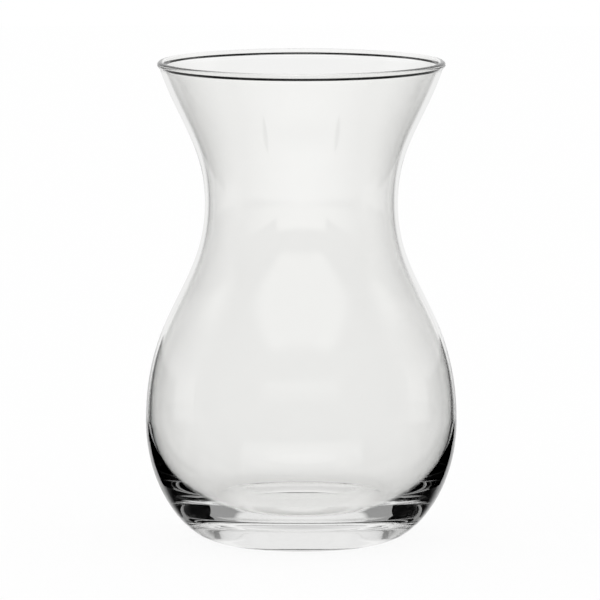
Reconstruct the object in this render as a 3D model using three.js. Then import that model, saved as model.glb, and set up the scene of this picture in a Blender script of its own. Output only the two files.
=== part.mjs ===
// Clear glass vase: flared mouth, drawn-in waist, round belly and a thick flat base.
// The vase is one gather of glass. It is drawn as the seven zones that a glassmaker shapes and
// names, each turned about the upright axis and lying face to face with the next.
// Millimetres, +Z up, origin on the table at the centre of the foot.

import * as THREE from 'three';

// Outside of the vase
const height = 200;
const footRadius = 36.3;
const bellyRadius = 64.9;
const bellyHeight = 49.5;
const waistRadius = 40.1;
const waistHeight = 141;
const rimRadius = 59.85;
const mouthLean = THREE.MathUtils.degToRad(18.2);

// Glass thickness; the inside of the belly is widest a little above the outside
const bellyWall = 1.95;
const waistWall = 2.05;
const bowlLift = 2;
const heelWall = 14.6;

// Floor of the vase, dished a little, and the hollow under it
const floorHeight = 12.75;
const floorDish = 2.3;
const puntDepth = 0.8;
const puntRadius = 31;

// Bead of the rim: its radius, and how far and over what depth it swells out of the wall on each side
const beadRadius = 1.5;
const outerSwell = 0.6;
const outerSwellDepth = 1.4;
const innerSwell = 0.24;
const innerSwellDepth = 0.9;

// Reach of each curve: how far it keeps its direction before it turns to the next point
const footReach = 10;
const heelReach = 30.7;
const shoulderReach = 47;
const innerShoulderLag = 1.6;
const lowerWaistReach = 35.5;
const upperWaistReach = 23.8;
const mouthReach = 22.6;
const swellReach = 0.2;
const outerBeadReach = 0.85;
const innerBeadReach = 0.6;
const bowlReach = 25;
const floorReach = 7;
const floorEdgeReach = 2.6;
const dishReach = 15;
const puntReach = 9;
const puntEdgeReach = 3;

// Where one zone ends and the next begins
const baseRise = 8;
const heelDrop = 12;
const bellyRise = 28;
const waistHalf = 20;
const rimDepth = 7;

// Fineness of the drawn surface
const turnSteps = 64;
const wallSteps = 6;
const baseSteps = 8;
const floorSteps = 4;
const puntSteps = 4;
const swellSteps = 3;
const beadSteps = 8;

const point = (radius, z) => new THREE.Vector2(radius, z);
const bend = (...points) => new THREE.CubicBezierCurve(...points);
const flareUp = point(Math.sin(mouthLean), Math.cos(mouthLean));

// The bead stands upright on the leaning wall; each side of the wall ends just below it
const beadCentre = point(rimRadius - beadRadius, height - beadRadius);
const outerMouth = point(
  rimRadius - outerSwell - outerSwellDepth * Math.tan(mouthLean),
  beadCentre.y - outerSwellDepth,
);
const innerMouth = point(
  rimRadius - 2 * beadRadius + innerSwell - innerSwellDepth * Math.tan(mouthLean),
  beadCentre.y - innerSwellDepth,
);

// Outside curves, from the foot up to the bead
const foot = point(footRadius, 0);
const belly = point(bellyRadius, bellyHeight);
const waist = point(waistRadius, waistHeight);
const heelCurve = bend(
  foot,
  point(footRadius + footReach, 0),
  point(bellyRadius, bellyHeight - heelReach),
  belly,
);
const outerShoulder = bend(
  belly,
  point(bellyRadius, bellyHeight + shoulderReach),
  point(waistRadius, waistHeight - lowerWaistReach),
  waist,
);
const outerFlare = bend(
  waist,
  point(waistRadius, waistHeight + upperWaistReach),
  outerMouth.clone().addScaledVector(flareUp, -mouthReach),
  outerMouth,
);

// Finds where a rising curve passes a height
function paramAt(curve, z) {
  let low = 0;
  let high = 1;
  const halvings = 50;
  for (let i = 0; i < halvings; i += 1) {
    const middle = (low + high) / 2;
    if (curve.getPoint(middle).y < z) low = middle;
    else high = middle;
  }
  return (low + high) / 2;
}

// Inside curves, from the middle of the floor up to the bead
const floorRadius = heelCurve.getPoint(paramAt(heelCurve, floorHeight)).x - heelWall;
const floorCentreZ = floorHeight - floorDish;
const floorEdge = point(floorRadius, floorHeight);
const innerBelly = point(bellyRadius - bellyWall, bellyHeight + bowlLift);
const innerWaist = point(waistRadius - waistWall, waistHeight);
const floorCurve = bend(
  point(0, floorCentreZ),
  point(dishReach, floorCentreZ),
  point(floorRadius - floorEdgeReach, floorHeight),
  floorEdge,
);
const bowlCurve = bend(
  floorEdge,
  point(floorRadius + floorReach, floorHeight),
  point(innerBelly.x, innerBelly.y - bowlReach),
  innerBelly,
);
const innerShoulder = bend(
  innerBelly,
  point(innerBelly.x, innerBelly.y + shoulderReach - innerShoulderLag),
  point(innerWaist.x, waistHeight - lowerWaistReach),
  innerWaist,
);
const innerFlare = bend(
  innerWaist,
  point(innerWaist.x, waistHeight + upperWaistReach),
  innerMouth.clone().addScaledVector(flareUp, -mouthReach),
  innerMouth,
);

// Hollow under the base
const puntCurve = bend(
  point(0, puntDepth),
  point(puntReach, puntDepth),
  point(puntRadius - puntEdgeReach, 0),
  point(puntRadius, 0),
);

// Points of a rising curve between two heights; the ends are the same for both zones that meet there
function stretch(curve, fromZ, toZ, steps) {
  const start = fromZ <= curve.v0.y ? 0 : paramAt(curve, fromZ);
  const end = toZ >= curve.v3.y ? 1 : paramAt(curve, toZ);
  return Array.from({ length: steps + 1 }, (_, i) =>
    curve.getPoint(start + ((end - start) * i) / steps));
}

// Two stretches that meet at the shared end of two curves
function joined(lowerCurve, upperCurve, fromZ, toZ, steps) {
  const meetZ = upperCurve.v0.y;
  const lower = stretch(lowerCurve, fromZ, meetZ, steps);
  const upper = stretch(upperCurve, meetZ, toZ, steps);
  return [...lower, ...upper.slice(1)];
}

// A ring of wall: up the outside, across, down the inside and back across to the start
const ring = (outer, inner) => [...outer, ...inner.toReversed(), outer[0]];

// One side of the rim: the last of the wall, then its swell up to the side of the bead
function rimSide(flareCurve, fromZ, beadSide, beadReach) {
  const mouth = flareCurve.v3;
  const swell = bend(
    mouth,
    mouth.clone().addScaledVector(flareUp, swellReach),
    point(beadSide, beadCentre.y - beadReach),
    point(beadSide, beadCentre.y),
  );
  return [...stretch(flareCurve, fromZ, mouth.y, 1), ...swell.getPoints(swellSteps).slice(1)];
}

// The rim: two sides of wall joined over the top by the half round of the bead
function rimOutline(fromZ) {
  const outer = rimSide(outerFlare, fromZ, beadCentre.x + beadRadius, outerBeadReach);
  const inner = rimSide(innerFlare, fromZ, beadCentre.x - beadRadius, innerBeadReach);
  const crest = Array.from({ length: beadSteps - 1 }, (_, i) => {
    const angle = (Math.PI * (i + 1)) / beadSteps;
    const across = beadRadius * Math.cos(angle);
    return point(beadCentre.x + across, beadCentre.y + beadRadius * Math.sin(angle));
  });
  return ring([...outer, ...crest], inner);
}

const heelFrom = floorHeight + baseRise;
const bellyFrom = bellyHeight - heelDrop;
const shoulderFrom = bellyHeight + bellyRise;
const waistFrom = waistHeight - waistHalf;
const flareFrom = waistHeight + waistHalf;
const rimFrom = height - rimDepth;

const outlines = {
  base: [
    ...puntCurve.getPoints(puntSteps),
    ...stretch(heelCurve, 0, heelFrom, baseSteps),
    ...stretch(bowlCurve, floorHeight, heelFrom, baseSteps).toReversed(),
    ...floorCurve.getPoints(floorSteps).toReversed().slice(1),
  ],
  heel: ring(
    stretch(heelCurve, heelFrom, bellyFrom, wallSteps),
    stretch(bowlCurve, heelFrom, bellyFrom, wallSteps),
  ),
  belly: ring(
    joined(heelCurve, outerShoulder, bellyFrom, shoulderFrom, wallSteps),
    joined(bowlCurve, innerShoulder, bellyFrom, shoulderFrom, wallSteps),
  ),
  shoulder: ring(
    stretch(outerShoulder, shoulderFrom, waistFrom, wallSteps),
    stretch(innerShoulder, shoulderFrom, waistFrom, wallSteps),
  ),
  waist: ring(
    joined(outerShoulder, outerFlare, waistFrom, flareFrom, wallSteps / 2),
    joined(innerShoulder, innerFlare, waistFrom, flareFrom, wallSteps / 2),
  ),
  flare: ring(
    stretch(outerFlare, flareFrom, rimFrom, wallSteps),
    stretch(innerFlare, flareFrom, rimFrom, wallSteps),
  ),
  rim: rimOutline(rimFrom),
};

// Clear soda-lime glass: colourless, with the hard shine of a fire-polished skin
const glassColour = 0xf4f7f6;
const glassRoughness = 0.03;
const glassOpacity = 0.4;

const vase = new THREE.Group();
vase.name = 'glass_vase';
for (const [name, outline] of Object.entries(outlines)) {
  const geometry = new THREE.LatheGeometry(outline, turnSteps).rotateX(Math.PI / 2);
  const glass = new THREE.MeshStandardMaterial({
    color: glassColour,
    roughness: glassRoughness,
    metalness: 0,
    transparent: true,
    opacity: glassOpacity,
  });
  const zone = new THREE.Mesh(geometry, glass);
  zone.name = name;
  vase.add(zone);
}

export default vase;
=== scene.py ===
# %% [markdown]
# # A clear glass vase
# One piece of blown glass: a flared mouth with a rounded bead, a drawn-in waist, a round belly and
# a thick base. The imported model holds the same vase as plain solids, cut into zones. This lesson
# turns the whole vase as one unbroken skin of glass, because light runs through all the zones and
# any seam inside the glass would show as a mirror.

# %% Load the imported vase
import math
import bpy
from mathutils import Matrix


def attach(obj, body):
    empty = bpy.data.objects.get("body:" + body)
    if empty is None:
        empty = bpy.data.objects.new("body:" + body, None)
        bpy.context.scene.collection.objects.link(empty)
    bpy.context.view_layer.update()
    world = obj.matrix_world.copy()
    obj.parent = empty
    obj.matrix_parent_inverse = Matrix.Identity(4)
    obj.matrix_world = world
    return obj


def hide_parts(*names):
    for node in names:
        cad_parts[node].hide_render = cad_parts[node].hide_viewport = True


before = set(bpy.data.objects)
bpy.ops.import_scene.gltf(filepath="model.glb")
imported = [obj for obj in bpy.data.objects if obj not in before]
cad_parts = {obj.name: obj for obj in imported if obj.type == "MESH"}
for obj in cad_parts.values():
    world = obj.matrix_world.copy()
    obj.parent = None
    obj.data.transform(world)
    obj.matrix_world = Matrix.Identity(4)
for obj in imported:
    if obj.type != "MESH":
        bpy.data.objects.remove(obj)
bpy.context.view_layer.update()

zones = sorted(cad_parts)
print("zones of the packed vase:", zones)

# %% [markdown]
# ## The section
# A vase is a shape turned about an axis, so all of it is in half of its section. The section could
# be built ring by ring from a cylinder, but then every curve would have to be smoothed by hand. A
# Bezier curve is nearer to how a glassmaker draws it: one knot wherever the wall turns, and a pair
# of handles that say how long it keeps its direction. The curve starts under the base on the axis,
# runs up the outside, over the bead, and down the inside to the floor. The wall is about 2 mm thick
# all the way up and swells to a thick heel below the belly, where the hot glass gathered.

# %% Sizes of the section, in millimetres
MM = 0.001
height = 200.0
foot_radius = 36.3
belly_radius = 64.9
belly_height = 49.5
waist_radius = 40.1
waist_height = 141.0
rim_radius = 59.85
belly_wall = 1.95
waist_wall = 2.05
inner_belly_height = 51.5
floor_radius = 39.4
floor_height = 12.75
floor_centre = 10.45
punt_depth = 0.8
punt_radius = 31.0
print("glass under the middle of the floor:", round(floor_centre - punt_depth, 2), "mm")

# %% Where the bead sits on the leaning wall
mouth_lean = math.radians(18.2)
bead_radius = 1.5
outer_swell = 0.6
outer_swell_depth = 1.4
inner_swell = 0.24
inner_swell_depth = 0.9
bead_height = height - bead_radius
inner_rim_radius = rim_radius - 2 * bead_radius
outer_mouth = (
    rim_radius - outer_swell - outer_swell_depth * math.tan(mouth_lean),
    bead_height - outer_swell_depth,
)
inner_mouth = (
    inner_rim_radius + inner_swell - inner_swell_depth * math.tan(mouth_lean),
    bead_height - inner_swell_depth,
)
print("wall just under the bead, level:", round(outer_mouth[0] - inner_mouth[0], 2), "mm")

# %% Headings and reaches of the knots
outward, inward, up, down = (1, 0), (-1, 0), (0, 1), (0, -1)
up_flare = (math.sin(mouth_lean), math.cos(mouth_lean))
down_flare = (-up_flare[0], -up_flare[1])
quarter_round = 0.5523
bead_reach = quarter_round * bead_radius
outer_bead_reach = 0.85
inner_bead_reach = 0.6
swell_reach = 0.2
mouth_reach = 22.6
upper_waist_reach = 23.8
lower_waist_reach = 35.5
shoulder_reach = 47.0
inner_shoulder_reach = 45.4
heel_reach = 30.7
foot_reach = 10.0
foot_ring_reach = 1.0
bowl_reach = 25.0
floor_reach = 7.0
floor_edge_reach = 2.6
dish_reach = 15.0
punt_reach = 9.0
punt_edge_reach = 3.0
print("lean of the mouth:", round(math.degrees(mouth_lean), 1), "degrees")

# %% The knots: radius, height, heading, reach before and reach after
outside = [
    (0.0, punt_depth, outward, 0.0, punt_reach),
    (punt_radius, 0.0, outward, punt_edge_reach, foot_ring_reach),
    (foot_radius, 0.0, outward, foot_ring_reach, foot_reach),
    (belly_radius, belly_height, up, heel_reach, shoulder_reach),
    (waist_radius, waist_height, up, lower_waist_reach, upper_waist_reach),
    (*outer_mouth, up_flare, mouth_reach, swell_reach),
]
bead = [
    (rim_radius, bead_height, up, outer_bead_reach, bead_reach),
    (rim_radius - bead_radius, height, inward, bead_reach, bead_reach),
    (inner_rim_radius, bead_height, down, bead_reach, inner_bead_reach),
]
inside = [
    (*inner_mouth, down_flare, swell_reach, mouth_reach),
    (waist_radius - waist_wall, waist_height, down, upper_waist_reach, lower_waist_reach),
    (belly_radius - belly_wall, inner_belly_height, down, inner_shoulder_reach, bowl_reach),
    (floor_radius, floor_height, inward, floor_reach, floor_edge_reach),
    (0.0, floor_centre, inward, dish_reach, 0.0),
]
knots = outside + bead + inside
print("knots of the section:", len(knots))

# %% Draw the section
steps_between_knots = 28
bpy.ops.object.select_all(action="DESELECT")
bpy.ops.curve.primitive_bezier_curve_add(location=(0, 0, 0))
vase = bpy.context.object
vase.name = vase.data.name = "glass_vase"
section = vase.data.splines[0]
section.bezier_points.add(len(knots) - len(section.bezier_points))
for knot, (radius, z, (out_way, up_way), before, after) in zip(section.bezier_points, knots):
    knot.handle_left_type = knot.handle_right_type = "FREE"
    knot.co = (radius * MM, 0, z * MM)
    knot.handle_left = ((radius - out_way * before) * MM, 0, (z - up_way * before) * MM)
    knot.handle_right = ((radius + out_way * after) * MM, 0, (z + up_way * after) * MM)
section.resolution_u = steps_between_knots
bpy.ops.object.convert(target="MESH")
print("points of the section:", len(vase.data.vertices))

# %% [markdown]
# ## Turning it
# The section is turned once round with Spin, as on a lathe. A Screw modifier would give the same
# shape, but with Spin the mesh is there at once, and its seam can be closed by hand. The two ends
# on the axis shrink to single points when the doubles are merged, and the normals are set after
# that, so that they all face out of the glass.

# %% Turn the section round the axis
turn_steps = 160
seam_gap = 0.002 * MM
bpy.ops.object.mode_set(mode="EDIT")
bpy.ops.mesh.select_all(action="SELECT")
bpy.ops.mesh.spin(steps=turn_steps, angle=math.tau, center=(0, 0, 0), axis=(0, 0, 1))
bpy.ops.mesh.select_all(action="SELECT")
bpy.ops.mesh.remove_doubles(threshold=seam_gap)
bpy.ops.mesh.normals_make_consistent(inside=False)
bpy.ops.object.mode_set(mode="OBJECT")
bpy.ops.object.shade_smooth()
print("faces of the vase:", len(vase.data.polygons))

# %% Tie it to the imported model
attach(vase, "root")
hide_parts(*zones)
print(vase.name, "stands for", len(zones), "zones")

# %% [markdown]
# ## Soda-lime glass
# The glass of bottles and windows, blown and then fire-polished: the flame melts the skin, so it is
# smoother than any grinding could make it. It has almost no colour of its own; what the eye sees is
# how it bends and mirrors the room. It could be painted with a picture of reflections, but a
# Principled shader with full transmission and the real index of refraction finds them by itself,
# from every side.

# %% Helpers for colours and nodes
def linear(hex_colour):
    """Turns an sRGB hex colour into the linear values that a shader takes."""
    parts = [int(hex_colour[i:i + 2], 16) / 255 for i in (1, 3, 5)]
    flat = [c / 12.92 if c <= 0.04045 else ((c + 0.055) / 1.055) ** 2.4 for c in parts]
    return (*flat, 1.0)


def add_node(tree, kind, sockets=None, **settings):
    """Adds one node with its settings; a socket given as a value is linked, anything else is set."""
    node = tree.nodes.new(kind)
    for name, value in settings.items():
        setattr(node, name, value)
    for name, value in (sockets or {}).items():
        if isinstance(value, bpy.types.NodeSocket):
            tree.links.new(value, node.inputs[name])
        else:
            node.inputs[name].default_value = value
    return node


def empty_tree(owner):
    """Gives a material or a world an empty node tree."""
    owner.use_nodes = True
    owner.node_tree.nodes.clear()
    return owner.node_tree


print("white in linear values:", linear("#ffffff"))

# %% The glass: clear, with faint hazy patches where it has been handled
glass = bpy.data.materials.new("soda_lime_glass_fire_polished")
tree = empty_tree(glass)
haze_patch = 25 * MM
haze_roughness = 0.012
glass_index = 1.52
place = add_node(tree, "ShaderNodeTexCoord").outputs["Object"]
haze = add_node(tree, "ShaderNodeTexNoise", {
    "Vector": place, "Scale": 1 / haze_patch, "Detail": 3.0, "Roughness": 0.6,
})
polish = add_node(tree, "ShaderNodeMapRange", {
    "Value": haze.outputs["Fac"], "From Min": 0.35, "From Max": 0.75,
    "To Min": 0.0, "To Max": haze_roughness,
})
body = add_node(tree, "ShaderNodeBsdfPrincipled", {
    "Base Color": linear("#fffffe"),
    "Roughness": polish.outputs["Result"],
    "IOR": glass_index,
    "Transmission Weight": 1.0,
})
add_node(tree, "ShaderNodeOutputMaterial", {"Surface": body.outputs["BSDF"]})
vase.data.materials.append(glass)
print("material:", glass.name)

# %% [markdown]
# ## The table
# A photographer stands glass on a white table that fades into a white ground, and hides the rest of
# the room. The table is a plain disc. To the camera it is almost pure white and keeps only a part
# of the shadow; through the glass it is a little greyer, least so under the thick base, where a pool
# of painted light stands for the light that the thick glass gathers on it. In the mirrors of the glass
# only two parts of it are white: a strip that runs back from the vase, narrow between the black cards
# that come next and wider behind them, and an apron in front, seen from high up, which brightens the
# flare of the mouth.

# %% Helpers for soft edges and sums
def fade(tree, value, start, end, first, last):
    """Goes softly from the first tone to the last one while the value goes from start to end."""
    node = add_node(tree, "ShaderNodeMapRange", {
        "Value": value, "From Min": start, "From Max": end, "To Min": first, "To Max": last,
    }, interpolation_type="SMOOTHSTEP")
    return node.outputs["Result"]


def reckon(tree, operation, first, second=0.0):
    """One sum of two values, kept between 0 and 1 where it is an addition."""
    node = add_node(tree, "ShaderNodeMath", {0: first, 1: second}, operation=operation)
    node.use_clamp = operation == "ADD"
    return node.outputs["Value"]


def mirrored(tree, path):
    """1 for light that has met a mirror on its way, 0 for light that has not."""
    return reckon(tree, "MINIMUM", path["Glossy Depth"], 1.0)


print("helpers ready")

# %% The disc of the table, a hair under the vase
table_radius = 2.5
table_gap = 0.1 * MM
bpy.ops.object.select_all(action="DESELECT")
bpy.ops.mesh.primitive_circle_add(
    vertices=96, radius=table_radius, fill_type="NGON", location=(0, 0, -table_gap),
)
table = bpy.context.object
table.name = "table"
print("table:", 2 * table_radius, "m across")

# %% Its white: matt paper that hardly darkens under the vase, with painted light under the base
paper = bpy.data.materials.new("white_table_paper")
tree = empty_tree(paper)
path = add_node(tree, "ShaderNodeLightPath").outputs
place = add_node(tree, "ShaderNodeTexCoord").outputs["Object"]
across = add_node(tree, "ShaderNodeSeparateXYZ", {"Vector": place}).outputs
away = add_node(tree, "ShaderNodeVectorMath", {0: place}, operation="LENGTH").outputs["Value"]
camera_share = 0.92
painted_light_under_base = 0.72
open_share = 0.5
under_base = 0.028
past_base = 0.038
matt = add_node(tree, "ShaderNodeBsdfDiffuse", {"Color": linear("#f9f9f9")})
white = add_node(tree, "ShaderNodeEmission", {"Strength": 1.0})
# Painted light: seen through the glass, the table is made whiter under the thick base than further out.
glass_share = fade(tree, away, under_base, past_base, painted_light_under_base, open_share)
whiter_to_camera = reckon(tree, "MULTIPLY", path["Is Camera Ray"], camera_share)
whiter_through_glass = reckon(tree, "MULTIPLY", path["Is Transmission Ray"], glass_share)
whiter = reckon(tree, "MAXIMUM", whiter_to_camera, whiter_through_glass)
pale = add_node(tree, "ShaderNodeMixShader", {
    0: whiter, 1: matt.outputs["BSDF"], 2: white.outputs["Emission"],
})
print("share of pure white for the camera:", camera_share)

# %% The white strip that the mirrors in the glass see
strip_tone = 0.75
strip_half = 0.06
strip_edge = 0.085
strip_front = -0.06
strip_full = -0.03
strip_far = 0.4
strip_end = 0.9
beside_half = 0.03
beside_edge = 0.045
behind_start = 0.03
behind_full = 0.07
sideways = reckon(tree, "ABSOLUTE", across["X"])
behind = fade(tree, across["Y"], behind_start, behind_full, 0.0, 1.0)
beside = fade(tree, sideways, beside_half, beside_edge, 1.0, 0.0)
strip = fade(tree, sideways, strip_half, strip_edge, 1.0, 0.0)
strip = reckon(tree, "MULTIPLY", strip, reckon(tree, "MAXIMUM", behind, beside))
strip = reckon(tree, "MULTIPLY", strip, fade(tree, across["Y"], strip_front, strip_full, 0.0, 1.0))
strip = reckon(tree, "MULTIPLY", strip, fade(tree, away, strip_far, strip_end, 1.0, 0.0))
strip = reckon(tree, "MULTIPLY", strip, strip_tone)
print("strip:", 2 * strip_half, "m wide,", strip_end, "m long")

# %% The white apron in front, which fades where it is seen at a low angle
apron_near = 0.12
apron_full = 0.18
apron_sides = math.radians(70)
apron_middle = math.radians(175)
steep = 0.7
shallow = 0.82
facing = add_node(tree, "ShaderNodeLayerWeight", {"Blend": 0.5}).outputs["Facing"]
from_rear = reckon(tree, "ABSOLUTE", reckon(tree, "ARCTAN2", across["X"], across["Y"]))
apron = fade(tree, from_rear, apron_sides, apron_middle, 0.0, 1.0)
apron = reckon(tree, "MULTIPLY", apron, fade(tree, away, apron_near, apron_full, 0.0, 1.0))
apron = reckon(tree, "MULTIPLY", apron, fade(tree, facing, steep, shallow, 1.0, 0.0))
print("the apron starts", apron_near, "m from the axis")

# %% The whole surface of the table
nothing = add_node(tree, "ShaderNodeBsdfTransparent")
in_mirrors = add_node(tree, "ShaderNodeMixShader", {
    0: reckon(tree, "MAXIMUM", strip, apron),
    1: nothing.outputs["BSDF"],
    2: white.outputs["Emission"],
})
surface = add_node(tree, "ShaderNodeMixShader", {
    0: mirrored(tree, path), 1: pale.outputs["Shader"], 2: in_mirrors.outputs["Shader"],
})
add_node(tree, "ShaderNodeOutputMaterial", {"Surface": surface.outputs["Shader"]})
table.data.materials.append(paper)
print("table:", table.name, "in", paper.name)

# %% [markdown]
# ## Black cards
# White glass on a white ground would vanish. A photographer sets black cards just outside the
# picture: the thick glass of the heel and the edge of the belly mirror them as black lines, and the
# lines draw the shape. Two low cards stand beside the vase and two taller ones at the back corners.
# Only the mirrors in the glass may see them, so they leave the table and the ground white.

# %% Black card, for mirrors only
card_black = bpy.data.materials.new("black_card")
tree = empty_tree(card_black)
path = add_node(tree, "ShaderNodeLightPath").outputs
nothing = add_node(tree, "ShaderNodeBsdfTransparent")
black = add_node(tree, "ShaderNodeBsdfDiffuse", {"Color": linear("#000000")})
surface = add_node(tree, "ShaderNodeMixShader", {
    0: mirrored(tree, path), 1: nothing.outputs["BSDF"], 2: black.outputs["BSDF"],
})
add_node(tree, "ShaderNodeOutputMaterial", {"Surface": surface.outputs["Shader"]})
print("material:", card_black.name)


# %% Stand the cards up, the same on both sides
def stand_card(name, start, end, card_height):
    """Stands a black card on the table along a line from start to end."""
    run = (end[0] - start[0], end[1] - start[1])
    middle = ((start[0] + end[0]) / 2, (start[1] + end[1]) / 2, card_height / 2)
    bpy.ops.object.select_all(action="DESELECT")
    bpy.ops.mesh.primitive_plane_add(
        size=1.0, location=middle, rotation=(math.pi / 2, 0, math.atan2(run[1], run[0])),
    )
    card = bpy.context.object
    card.name = name
    card.scale = (math.hypot(*run), card_height, 1)
    bpy.ops.object.transform_apply(location=True, rotation=True, scale=True)
    card.data.materials.append(card_black)


low_aside = 0.09
low_front = -0.12
low_back = 0.05
low_height = 0.05
corner_inner = (0.143, 0.2)
corner_outer = (0.26, 0.04)
corner_height = 0.088
for side, way in (("left", -1), ("right", 1)):
    stand_card(side + "_low_card", (way * low_aside, low_front), (way * low_aside, low_back), low_height)
    inner_end = (way * corner_inner[0], corner_inner[1])
    outer_end = (way * corner_outer[0], corner_outer[1])
    stand_card(side + "_corner_card", inner_end, outer_end, corner_height)

# %% [markdown]
# ## The studio
# Glass is lit from behind and from above, not from the front. Behind the vase stands a bright white
# panel with grey walls beside it, a softbox hangs overhead, and the front of the room is dark. All
# of it is painted into the world by direction, which is simpler than building the room and is the
# same from every place on the vase. The mirrors in the glass see the panel, the walls and the
# softbox; light that goes straight through sees white up to a little above the horizon and then the
# dark gap under the softbox, which draws the black line under the bead.

# %% Directions in the studio
world = bpy.data.worlds.new("studio")
bpy.context.scene.world = world
tree = empty_tree(world)
path = add_node(tree, "ShaderNodeLightPath").outputs
direction = add_node(tree, "ShaderNodeTexCoord").outputs["Generated"]
toward = add_node(tree, "ShaderNodeSeparateXYZ", {"Vector": direction}).outputs
aside = reckon(tree, "ABSOLUTE", reckon(tree, "ARCTAN2", toward["X"], toward["Y"]))


def level(degrees):
    """How high a direction of this many degrees above the horizon points."""
    return math.sin(math.radians(degrees))


print("a direction 30 degrees up points", level(30), "upwards")

# %% What the mirrors in the glass see
dark = 0.01
panel_tone = 0.86
wall_tone = 0.34
panel_half = math.radians(27)
panel_edge = math.radians(34)
wall_end = math.radians(85)
wall_dark = math.radians(110)
rear_low = -26
rear_full = -16
panel = fade(tree, aside, panel_half, panel_edge, panel_tone, 0.0)
walls = fade(tree, aside, wall_end, wall_dark, wall_tone, 0.0)
rear = reckon(tree, "MAXIMUM", panel, walls)
rear_fade = fade(tree, toward["Z"], level(rear_low), level(rear_full), 0.0, 1.0)
rear = reckon(tree, "MULTIPLY", rear, rear_fade)
print("panel:", round(2 * math.degrees(panel_half)), "degrees wide")

# %% The softbox over the vase, and its bright middle
soft_front = 0.1
soft_full = 0.4
soft_low = 20
soft_high = 34
middle_low = 58
middle_full = 70
softbox = reckon(
    tree, "MULTIPLY",
    fade(tree, toward["Z"], level(soft_low), level(soft_high), 0.0, panel_tone),
    fade(tree, toward["Y"], soft_front, soft_full, 0.0, 1.0),
)
middle = fade(tree, toward["Z"], level(middle_low), level(middle_full), 0.0, panel_tone)
softbox = reckon(tree, "MAXIMUM", softbox, middle)
in_mirrors = reckon(tree, "MAXIMUM", reckon(tree, "MAXIMUM", rear, softbox), dark)
print("softbox: from", soft_low, "degrees up")

# %% What is seen straight through the glass
ground_top = 0
gap_low = 4
gap_high = 34
overhead_full = 44
ground = fade(tree, toward["Z"], level(ground_top), level(gap_low), 1.0, dark)
overhead = fade(tree, toward["Z"], level(gap_high), level(overhead_full), 0.0, 1.0)
straight = reckon(tree, "MAXIMUM", ground, overhead)
seen = add_node(tree, "ShaderNodeMix", {
    "Factor": mirrored(tree, path), "A": straight, "B": in_mirrors,
}, data_type="FLOAT").outputs["Result"]
print("dark gap: from", gap_low, "to", gap_high, "degrees up")

# %% Plain white for the camera and for the light on the table
plain = reckon(tree, "ADD", path["Diffuse Depth"], path["Is Camera Ray"])
tone = add_node(tree, "ShaderNodeMix", {
    "Factor": plain, "A": seen, "B": 1.0,
}, data_type="FLOAT").outputs["Result"]
sky = add_node(tree, "ShaderNodeBackground", {"Color": tone, "Strength": 1.0})
add_node(tree, "ShaderNodeOutputWorld", {"Surface": sky.outputs["Background"]})
print("studio nodes:", len(tree.nodes))

# %% [markdown]
# ## The camera
# The photograph was taken with a long lens from a little above the rim: the ellipses of the mouth
# and the base are narrow and almost alike. The light has to cross many walls of glass, so it is
# allowed more bounces than usual.

# %% Camera at the photograph's angle
camera_place = (-0.00054, -2.5533, 0.4346)
look_down = 0.1303
long_lens = 370.8
bpy.ops.object.select_all(action="DESELECT")
bpy.ops.object.camera_add(
    location=camera_place, rotation=(math.pi / 2 - look_down, 0, 0),
)
camera = bpy.context.object
camera.data.sensor_width = 36
camera.data.lens = long_lens
camera.data.clip_end = 100
scene = bpy.context.scene
scene.camera = camera
scene.view_settings.view_transform = "Standard"
scene.cycles.max_bounces = 32
scene.cycles.transmission_bounces = 24
scene.cycles.glossy_bounces = 16
print("the camera looks down", round(math.degrees(look_down), 1), "degrees")
